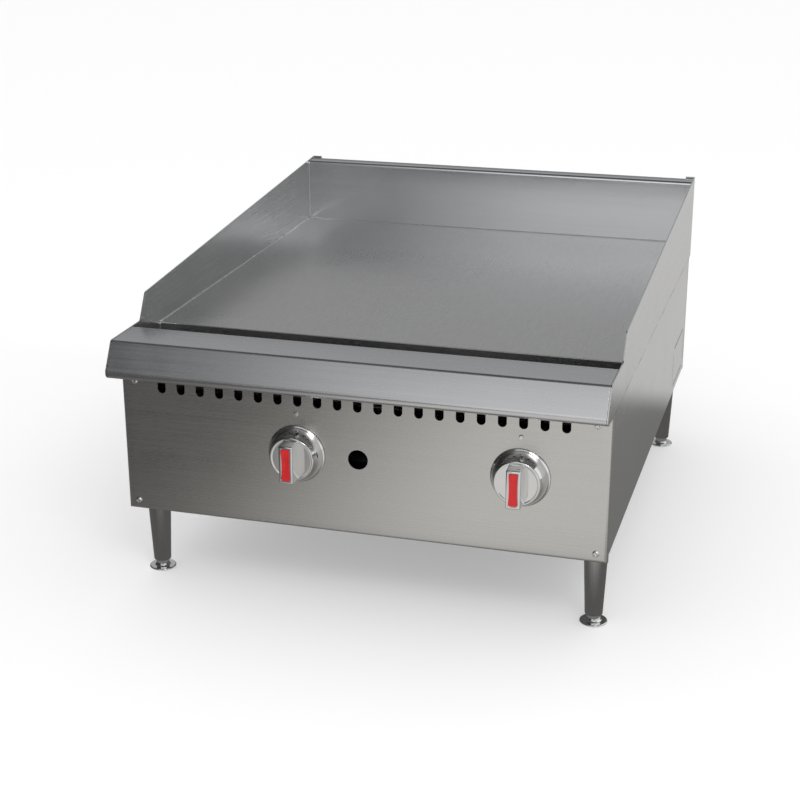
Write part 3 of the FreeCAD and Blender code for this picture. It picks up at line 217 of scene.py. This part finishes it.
MATERIALS = {
    "panel": brushed("panel_brushed", (0.58, 0.57, 0.55), 0.27, "x", streak=0.03, strength=0.014),
    "side": brushed("side_brushed", (0.58, 0.585, 0.58), 0.2, "y"),
    "guard": brushed("guard_brushed", (0.60, 0.605, 0.60), 0.24, "y"),
    "splash": brushed("splash_brushed", (0.68, 0.69, 0.70), 0.17, "x", streak=0.03, strength=0.012),
    "rail": brushed("rail_brushed", (0.58, 0.58, 0.585), 0.25, "x"),
    # Darker, rougher steel for the trough, chute and drawer: painted shade for the trough slot in front of
    # the plate.
    "trough": brushed("trough_brushed_painted_shade", (0.42, 0.42, 0.42), 0.38, "x"),
    "plate": ground_plate("plate_ground", (0.58, 0.572, 0.57)),
    "leg": brushed("leg_satin", (0.42, 0.415, 0.405), 0.15, "z", streak=0.06),
    "chrome": polished("chrome_plate", (0.70, 0.70, 0.695), 0.06),
    "foot": polished("foot_plate", (0.78, 0.78, 0.775), 0.12),
    "bright": polished("fastener_plate", (0.74, 0.74, 0.73), 0.2, 0.1),
    "weld": polished("weld_bead", (0.60, 0.60, 0.61), 0.26, 0.12),
    # Near-black finish for the lap lines: painted shade, a dark strip standing for the shadow in the gap
    # under each splash guard.
    "seam": polished("painted_shadow_seam", (0.12, 0.12, 0.12), 0.5, 0.1),
    "galvanised": cast_or_painted("galvanised_sheet", (0.36, 0.37, 0.38), 0.48, 0.9, 55.0, 0.08),
    "burner": cast_or_painted("burner_tube", (0.26, 0.25, 0.24), 0.5, 0.9, 70.0, 0.12),
    "pipe": cast_or_painted("black_pipe", (0.025, 0.025, 0.028), 0.45, 0.2, 90.0, 0.2),
    "brass": polished("machined_brass", (0.56, 0.40, 0.17), 0.28, 0.1),
    "red": moulded("insert_red", (0.52, 0.004, 0.006), 0.3),
}

NODE_MATERIALS = {
    "front_panel": "panel", "left_side_panel": "side", "right_side_panel": "side", "rear_panel": "galvanised",
    "bottom_pan": "galvanised", "front_rail": "rail", "back_splash": "splash", "grease_trough": "trough",
    "griddle_plate": "plate", "left_splash_guard": "guard", "right_splash_guard": "guard",
    "grease_chute": "trough", "grease_drawer": "trough", "left_burner": "burner", "right_burner": "burner",
    "left_valve_body": "brass", "right_valve_body": "brass", "left_valve_stem": "brass",
    "right_valve_stem": "brass", "burner_orifices": "brass", "pilot_valves": "brass", "pilot_heads": "brass",
    "manifold_pipe": "pipe", "manifold_plug": "pipe", "pipe_elbow": "pipe", "supply_pipe": "pipe",
    "gas_inlet_fitting": "pipe", "leg_nuts": "bright", "left_knob": "chrome", "right_knob": "chrome",
    "left_knob_insert": "red", "right_knob_insert": "red", "knob_index_studs": "bright",
    "front_panel_screws": "bright", "rear_panel_screws": "bright",
}


def node_material(name):
    if name.endswith("_leg"):
        return MATERIALS["leg"]
    if name.endswith("_foot"):
        return MATERIALS["foot"]
    return MATERIALS[NODE_MATERIALS.get(name, "galvanised")]


def smooth_by_angle(mesh, degrees):
    mesh.shade_smooth()
    mesh.set_sharp_from_angle(angle=math.radians(degrees))


def soften(piece, width, segments=2):
    """Break the sharp edges, as deburring and polishing do on the real sheet."""
    weld = piece.modifiers.new("weld", "WELD")
    weld.merge_threshold = 5e-6
    flat = piece.modifiers.new("flat_faces", "DECIMATE")
    flat.decimate_type = "DISSOLVE"
    flat.angle_limit = math.radians(0.6)
    bevel = piece.modifiers.new("edge_break", "BEVEL")
    bevel.width = width
    bevel.segments = segments
    bevel.limit_method = "ANGLE"
    bevel.angle_limit = math.radians(40)
    bevel.harden_normals = True


def dress_cad_nodes():
    """Give every CAD node its material, smooth shading and broken edges."""
    for name, piece in NODES.items():
        mesh = piece.data
        if "custom_normal" in mesh.attributes:
            mesh.attributes.remove(mesh.attributes["custom_normal"])
        mesh.materials.clear()
        mesh.materials.append(node_material(name))
        smooth_by_angle(mesh, SHARP_ANGLE)
        soften(piece, EDGE_BREAK)


# ---------------------------------------------------------------- mesh helpers

def new_piece(name, vertices, faces, body, material, sharp):
    """A mesh object on a body and finish; edges over sharp degrees stay sharp."""
    mesh = bpy.data.meshes.new(name)
    mesh.from_pydata([tuple(v) for v in vertices], [], faces)
    tidy = bmesh.new()
    tidy.from_mesh(mesh)
    bmesh.ops.remove_doubles(tidy, verts=tidy.verts, dist=1e-6)
    bmesh.ops.recalc_face_normals(tidy, faces=tidy.faces)
    tidy.to_mesh(mesh)
    tidy.free()
    mesh.materials.append(material)
    smooth_by_angle(mesh, sharp)
    piece = bpy.data.objects.new(name, mesh)
    bpy.context.scene.collection.objects.link(piece)
    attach(piece, body)
    return piece


def arc(centre, radius, start, end, steps):
    """Points (along, out) of an arc, angles in degrees."""
    turns = [math.radians(start + (end - start) * i / steps) for i in range(steps + 1)]
    return [(centre[0] + radius * math.cos(t), centre[1] + radius * math.sin(t)) for t in turns]


def lathe(profile, origin, steps=96):
    """Turn (distance along -y, radius) points about a y axis through the origin."""
    vertices, faces = [], []
    for along, radius in profile:
        for i in range(steps):
            turn = 2 * math.pi * i / steps
            vertices.append(origin + Vector((radius * math.cos(turn), -along, radius * math.sin(turn))))
    for row in range(len(profile) - 1):
        for i in range(steps):
            following = (i + 1) % steps
            a, b = row * steps, (row + 1) * steps
            faces.append((a + i, a + following, b + following, b + i))
    return vertices, faces


# ---------------------------------------------------------------- control knobs

KNOB_RIM = 36.0 * MM
KNOB_DISC = 26.7 * MM
KNOB_DEPTH = 21.0 * MM
GRIP_OUT = 41.0 * MM
GRIP_HALF = (9.4 * MM, 24.3 * MM)
RECESS_BORDER = 3.6 * MM
RECESS_DEPTH = 1.6 * MM


def knob_centre(side):
    """Point on the knob's axis at the back of its skirt."""
    low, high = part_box(f"{side}_knob")
    return Vector(((low.x + high.x) / 2, high.y + 1.0 * MM, (low.z + high.z) / 2))


def knob_skirt(side):
    """Chromed skirt: thin base rim, swelling cone, rolled edge and a slightly dished face."""
    profile = [(1.0 * MM, KNOB_RIM - 3 * MM), (1.0 * MM, KNOB_RIM - 0.5 * MM)]
    profile += arc((1.7 * MM, KNOB_RIM - 0.7 * MM), 0.7 * MM, 120, 20, 5)
    profile += [(3.0 * MM, KNOB_RIM - 1.6 * MM)]
    start = Vector((3.4 * MM, KNOB_RIM - 1.9 * MM))
    end = Vector((KNOB_DEPTH - 1.6 * MM, KNOB_DISC + 0.9 * MM))
    cone_steps, cone_swell = 12, 0.9 * MM
    for i in range(cone_steps + 1):
        share = i / cone_steps
        swell = math.sin(math.pi * share) * cone_swell
        point = start.lerp(end, share) + Vector((swell * 0.6, swell))
        profile.append((point.x, point.y))
    profile += arc((KNOB_DEPTH - 1.2 * MM, KNOB_DISC - 0.2 * MM), 1.2 * MM, 60, 0, 5)
    profile += [(KNOB_DEPTH - 0.1 * MM, KNOB_DISC - 1.6 * MM), (KNOB_DEPTH - 0.7 * MM, KNOB_DISC - 2.4 * MM)]
    dish = 0.5 * MM
    for share in (1, 0.8, 0.55, 0.3, 0.0):
        profile.append((KNOB_DEPTH - 0.7 * MM - dish * (1 - share), (KNOB_DISC - 3 * MM) * share))
    vertices, faces = lathe(profile, knob_centre(side))
    piece = new_piece(f"{side}_knob_skirt", vertices, faces, f"{side}_knob",
                      MATERIALS["chrome"], 50)
    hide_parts(f"{side}_knob")


def knob_grip(side):
    """Grip bar with a recess for the insert in its front."""
    centre = knob_centre(side)
    work = bmesh.new()
    back = KNOB_DEPTH - 2 * MM
    bmesh.ops.create_cube(work, size=1.0)
    for vertex in work.verts:
        taper_x, taper_z = (0.94, 0.98) if vertex.co.y < 0 else (1.0, 1.0)
        vertex.co.x *= GRIP_HALF[0] * 2 * taper_x
        vertex.co.z *= GRIP_HALF[1] * 2 * taper_z
        vertex.co.y = -GRIP_OUT if vertex.co.y < 0 else -back
    rims = [edge for edge in work.edges if not all(v.co.y > -back - 1e-6 for v in edge.verts)]
    bmesh.ops.bevel(work, geom=rims, offset=1.6 * MM, segments=4, affect="EDGES", profile=0.5)
    work.faces.ensure_lookup_table()
    front = max(work.faces, key=lambda face: (-face.calc_center_median().y, face.calc_area()))
    border = RECESS_BORDER - 1.6 * MM - 0.5 * MM
    bmesh.ops.inset_region(work, faces=[front], thickness=border)
    bmesh.ops.inset_region(work, faces=[front], thickness=0.15 * MM)
    moved = bmesh.ops.extrude_discrete_faces(work, faces=[front])["faces"][0]
    for vertex in moved.verts:
        vertex.co.y += RECESS_DEPTH
    for vertex in work.verts:
        vertex.co += centre
    mesh = bpy.data.meshes.new(f"{side}_knob_grip")
    work.to_mesh(mesh)
    work.free()
    vertices = [v.co.copy() for v in mesh.vertices]
    faces = [tuple(polygon.vertices) for polygon in mesh.polygons]
    bpy.data.meshes.remove(mesh)
    new_piece(f"{side}_knob_grip", vertices, faces, f"{side}_knob", MATERIALS["chrome"], 40)


def knob_insert(side):
    """Red insert: a strip that narrows slightly at its middle, with a dished front."""
    centre = knob_centre(side)
    rows, columns = 36, 12
    half_long, half_wide = 20.1 * MM, 5.6 * MM
    front, back = GRIP_OUT + 0.4 * MM, GRIP_OUT - RECESS_DEPTH + 0.1 * MM
    vertices, faces = [], []
    for layer in (0, 1):
        for row in range(rows + 1):
            along = -1 + 2 * row / rows
            width = half_wide * (1 - 0.13 * (1 - along * along))
            round_end = math.sqrt(max(0.0, 1 - max(0.0, (abs(along) - 0.94) / 0.06) ** 2 * 0.6))
            for column in range(columns + 1):
                across = -1 + 2 * column / columns
                dish = 0.55 * MM * (1 - across * across) * (1 - along ** 6)
                edge = 0.25 * MM * (abs(across) ** 12 + abs(along) ** 24)
                depth = back if layer else front - dish - edge
                vertices.append(centre + Vector((width * round_end * across, -depth, half_long * along)))
    count = (rows + 1) * (columns + 1)
    for layer in (0, 1):
        for row in range(rows):
            for column in range(columns):
                a = layer * count + row * (columns + 1) + column
                faces.append((a, a + 1, a + columns + 2, a + columns + 1))
    rim = [row * (columns + 1) for row in range(rows + 1)]
    rim += [rows * (columns + 1) + column for column in range(1, columns + 1)]
    rim += [row * (columns + 1) + columns for row in range(rows - 1, -1, -1)]
    rim += [column for column in range(columns - 1, 0, -1)]
    for first, second in zip(rim, rim[1:] + rim[:1]):
        faces.append((first, second, second + count, first + count))
    piece = new_piece(f"{side}_insert_strip", vertices, faces, f"{side}_knob",
                      MATERIALS["red"], 40)
    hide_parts(f"{side}_knob_insert")


# ---------------------------------------------------------------- small steel details

def weld_bead(name, start, end, radius, pitch, material="weld"):
    """A run of overlapping weld ripples along a straight seam."""
    path = end - start
    length = path.length
    way = path.normalized()
    side = way.cross(Vector((0, 0, 1))) if abs(way.z) < 0.9 else Vector((1, 0, 0))
    side.normalize()
    up = side.cross(way)
    per_ripple, around = 4, 8
    rings = int(length / pitch * per_ripple)
    vertices, faces = [], []
    for ring in range(rings + 1):
        along = ring / rings * length
        phase = (along / pitch) % 1.0
        wander = 0.12 * math.sin(along * 61.0) + 0.07 * math.sin(along * 173.0)
        swell = radius * (0.78 + 0.22 * math.sin(math.pi * phase) ** 0.6 + wander)
        if ring in (0, rings):
            swell *= 0.4
        for step in range(around):
            turn = 2 * math.pi * step / around
            vertices.append(start + way * along + (side * math.cos(turn) + up * math.sin(turn)) * swell)
    for ring in range(rings):
        for step in range(around):
            following = (step + 1) % around
            a, b = ring * around, (ring + 1) * around
            faces.append((a + step, a + following, b + following, b + step))
    faces.append(tuple(range(around)))
    faces.append(tuple(rings * around + step for step in range(around)))
    new_piece(name, vertices, faces, "body", MATERIALS[material], 60)


def plate_welds():
    """The plate is welded to both splash guards and, in short runs, down its front corners."""
    low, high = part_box("griddle_plate")
    size = 1.5 * MM
    for side, x in (("left", low.x), ("right", high.x)):
        inward = size * 0.35 if side == "left" else -size * 0.35
        weld_bead(f"{side}_plate_weld", Vector((x + inward, low.y + 2 * MM, high.z + size * 0.2)),
                  Vector((x + inward, high.y - 3 * MM, high.z + size * 0.2)), size, 3.4 * MM)
        weld_bead(f"{side}_corner_weld", Vector((x + inward, low.y - size * 0.3, low.z + 1 * MM)),
                  Vector((x + inward, low.y - size * 0.3, high.z - 0.5 * MM)), size, 3.0 * MM)


def splash_welds():
    """Thin seam runs where the back splash meets the plate and both guards."""
    low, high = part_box("griddle_plate")
    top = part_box("back_splash")[1].z
    size = 0.9 * MM
    weld_bead("plate_rear_weld", Vector((low.x + 2 * MM, high.y - size * 0.3, high.z + size * 0.1)),
              Vector((high.x - 2 * MM, high.y - size * 0.3, high.z + size * 0.1)), size, 2.6 * MM)
    for side, x in (("left", low.x), ("right", high.x)):
        inward = size * 0.35 if side == "left" else -size * 0.35
        weld_bead(f"{side}_splash_weld", Vector((x + inward, high.y - size * 0.3, high.z + 1 * MM)),
                  Vector((x + inward, high.y - size * 0.3, top - 4 * MM)), size, 2.6 * MM)


def side_shadow_lines():
    """A near-black bead below each splash guard, where its lower edge laps the side panel: a painted shadow
    line for the gap at the lap.
    """
    radius, pitch = 0.9 * MM, 5.0 * MM
    front_gap, rear_gap = 24 * MM, 2 * MM
    for side, at in (("left", 0), ("right", 1)):
        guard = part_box(f"{side}_splash_guard")
        inward = radius * (1 if side == "left" else -1)
        x, z = guard[at].x + inward, guard[0].z - radius * 0.6
        weld_bead(f"{side}_lap_shadow_line", Vector((x, guard[0].y + front_gap, z)),
                  Vector((x, guard[1].y - rear_gap, z)), radius, pitch, "seam")


SCREW_RISE = 2.2 * MM


def screw_head(centre, outward):
    """Pan head with a cross recess; outward is -1 where it faces the front and 1 the back."""
    radius, rise, steps, rings = 4.2 * MM, SCREW_RISE, 48, 14
    slot_half, slot_reach, slot_depth = 0.62 * MM, 2.5 * MM, 1.1 * MM
    vertices, faces = [], []
    for ring in range(rings + 1):
        share = ring / rings
        for step in range(steps):
            turn = 2 * math.pi * step / steps
            x, z = radius * share * math.cos(turn), radius * share * math.sin(turn)
            height = rise * (1 - share ** 3.2) ** 0.5 if share < 1 else 0.0
            across = min(abs(x), abs(z))
            reach = max(abs(x), abs(z))
            if across < slot_half and reach < slot_reach:
                height -= slot_depth * (1 - (reach / slot_reach) ** 2) ** 0.5
            vertices.append(centre + Vector((x, outward * height, z)))
    for ring in range(rings):
        for step in range(steps):
            following = (step + 1) % steps
            a, b = ring * steps, (ring + 1) * steps
            faces.append((a + step, a + following, b + following, b + step))
    return vertices, faces


def screw_set(name, node, outward):
    """One piece that holds the detailed heads of all the screws of a CAD node."""
    cad = NODES[node].data
    vertices, faces = [], []
    for island in vertex_islands(cad):
        low = Vector(min(cad.vertices[i].co[k] for i in island) for k in range(3))
        high = Vector(max(cad.vertices[i].co[k] for i in island) for k in range(3))
        seat = low.y + SCREW_RISE if outward < 0 else high.y - SCREW_RISE
        centre = Vector(((low.x + high.x) / 2, seat, (low.z + high.z) / 2))
        more_vertices, more_faces = screw_head(centre, outward)
        shift = len(vertices)
        vertices += more_vertices
        faces += [tuple(index + shift for index in face) for face in more_faces]
    piece = new_piece(name, vertices, faces, "body", MATERIALS["bright"], 35)
    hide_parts(node)


def vertex_islands(mesh):
    """Groups of vertex numbers that belong to one solid, welded by place."""
    parent = list(range(len(mesh.vertices)))

    def root(index):
        while parent[index] != index:
            parent[index] = parent[parent[index]]
            index = parent[index]
        return index

    seen = {}
    for vertex in mesh.vertices:
        key = tuple(round(value * 1e6) for value in vertex.co)
        if key in seen:
            parent[root(vertex.index)] = root(seen[key])
        seen[key] = vertex.index
    for edge in mesh.edges:
        parent[root(edge.vertices[0])] = root(edge.vertices[1])
    groups = {}
    for index in range(len(parent)):
        groups.setdefault(root(index), []).append(index)
    return list(groups.values())


# ---------------------------------------------------------------- stage, light and camera

def add_stage_mesh(name, mesh, material):
    mesh.materials.append(material)
    made = bpy.data.objects.new(name, mesh)
    bpy.context.scene.collection.objects.link(made)
    return made


def sheet(name, low, high, height, material):
    mesh = bpy.data.meshes.new(name)
    corners = [(low[0], low[1], height), (high[0], low[1], height), (high[0], high[1], height),
               (low[0], high[1], height)]
    mesh.from_pydata(corners, [], [(0, 1, 2, 3)])
    return add_stage_mesh(name, mesh, material)


def seen_in_reflections_only(made):
    made.visible_camera = False
    made.visible_diffuse = False
    made.visible_shadow = False
    made.visible_transmission = False
    made.visible_volume_scatter = False


class Glow:
    """Light-giving material for a reflector, with brightness that changes with place."""

    def __init__(self, name, colour):
        shader = Shader(name, (0, 0, 0), 0.0, 1.0)
        self.shader = shader
        self.material = shader.material
        self.material.cycles.emission_sampling = "NONE"
        shader.set(shader.surface, "Specular IOR Level", 0.0)
        shader.set(shader.surface, "Emission Color", (*colour, 1.0))

    def ramp(self, axis, start, end, at_start, at_end):
        return self.shader.remap(self.shader.axis(axis), start, end, at_start, at_end, smooth=True)

    def blend(self, first, second, amount):
        """First where amount is 0, second where it is 1."""
        maths = self.shader.maths
        kept = maths("MULTIPLY", first, maths("SUBTRACT", 1.0, amount))
        return maths("ADD", kept, maths("MULTIPLY", second, amount))

    def shine(self, strength):
        self.shader.join(strength, self.shader.surface, "Emission Strength")


def stage():
    """Pale floor with a little light of its own, which keeps the shadow under the body soft."""
    pale = Shader("floor_pale", (0.64, 0.64, 0.64), 0.0, 0.8, Emission_Strength=0.3)
    pale.set(pale.surface, "Emission Color", (1.0, 1.0, 1.0, 1.0))
    pale.bump(pale.noise(40.0), 0.02, 0.001)
    sheet("floor", (-16, -16), (16, 16), 0.0, pale.material)


def table_reflector():
    """What the steel mirrors low down: a dark table top, lighter towards the front right."""
    glow = Glow("table_glow", (1.0, 0.99, 0.97))
    front = glow.ramp("x", -0.46, 0.10, 0.115, 0.81)
    beside = glow.ramp("x", 0.2, 1.6, 0.19, 0.40)
    behind = glow.ramp("y", 0.42, 0.56, 0.0, 0.42)
    rest = glow.shader.maths("ADD", beside, behind)
    glow.shine(glow.blend(rest, front, glow.ramp("y", -0.36, -0.62, 0.0, 1.0)))
    seen_in_reflections_only(sheet("table_reflector", (-8, -8), (8, 8), 1.5 * MM, glow.material))


def room_reflector():
    """What the steel mirrors higher up: dark to the left and overhead, windows ahead and to the right."""
    glow = Glow("room_glow", (0.97, 0.985, 1.0))
    maths = glow.shader.maths
    low_windows = maths("MULTIPLY", glow.ramp("x", -3.0, -1.2, 0.04, 1.15),
                        glow.ramp("x", 0.4, 1.9, 1.0, 0.3))
    high_windows = glow.ramp("x", -3.4, -1.9, 0.06, 0.86)
    windows = glow.blend(low_windows, high_windows, glow.ramp("z", 3.0, 4.4, 0.0, 1.0))
    wall = maths("MULTIPLY", glow.ramp("z", 1.3, 2.9, 0.16, 0.48), glow.ramp("x", -6.5, -3.0, 0.12, 1.0))
    wall = maths("MULTIPLY", wall, glow.ramp("x", 1.2, 2.6, 1.0, 0.6))
    around = glow.blend(windows, wall, glow.ramp("y", -2.5, 2.0, 0.0, 1.0))
    to_right = glow.blend(around, 1.1, glow.ramp("x", 3.8, 5.4, 0.0, 1.0))
    glow.shine(glow.blend(to_right, 0.11, glow.ramp("z", 5.4, 6.6, 0.0, 1.0)))
    mesh = bpy.data.meshes.new("room_reflector")
    work = bmesh.new()
    bmesh.ops.create_uvsphere(work, u_segments=48, v_segments=24, radius=8.0)
    work.to_mesh(mesh)
    work.free()
    seen_in_reflections_only(add_stage_mesh("room_reflector", mesh, glow.material))


def area_light(name, place, target, width, height, power):
    data = bpy.data.lights.new(name, "AREA")
    data.shape = "RECTANGLE"
    data.size = width
    data.size_y = height
    data.energy = power
    lamp = bpy.data.objects.new(name, data)
    lamp.location = place
    lamp.rotation_euler = (Vector(target) - Vector(place)).to_track_quat("-Z", "Y").to_euler()
    bpy.context.scene.collection.objects.link(lamp)


def world():
    """Even white surroundings that light the pale floor."""
    made = bpy.data.worlds.new("studio")
    made.use_nodes = True
    background = made.node_tree.nodes["Background"]
    background.inputs["Color"].default_value = (1.0, 1.0, 1.0, 1.0)
    background.inputs["Strength"].default_value = 1.07
    bpy.context.scene.world = made


def camera():
    """The photograph's view: a long lens, to the right of the front and above it."""
    data = bpy.data.cameras.new("view")
    data.sensor_width = 36.0
    data.lens = 73.06
    view = bpy.data.objects.new("view", data)
    view.location = (0.55411, -2.08081, 0.93161)
    pitch, yaw, roll = 19.986, 16.253, -0.17
    turn = Matrix.Rotation(math.radians(yaw), 3, "Z") @ Matrix.Rotation(math.radians(90 - pitch), 3, "X")
    turn = turn @ Matrix.Rotation(math.radians(roll), 3, "Z")
    view.rotation_euler = turn.to_euler()
    bpy.context.scene.collection.objects.link(view)
    bpy.context.scene.camera = view


dress_cad_nodes()
for side in CONTROL_SIDES:
    knob_skirt(side)
    knob_grip(side)
    knob_insert(side)
plate_welds()
splash_welds()
side_shadow_lines()
screw_set("front_screw_heads", "front_panel_screws", -1)
screw_set("rear_screw_heads", "rear_panel_screws", 1)
stage()
table_reflector()
room_reflector()
world()
area_light("key", place=(1.5, -2.4, 2.6), target=(0, 0, 0.2), width=1.4, height=1.0, power=24)
camera()
bpy.context.scene.view_settings.view_transform = "Standard"
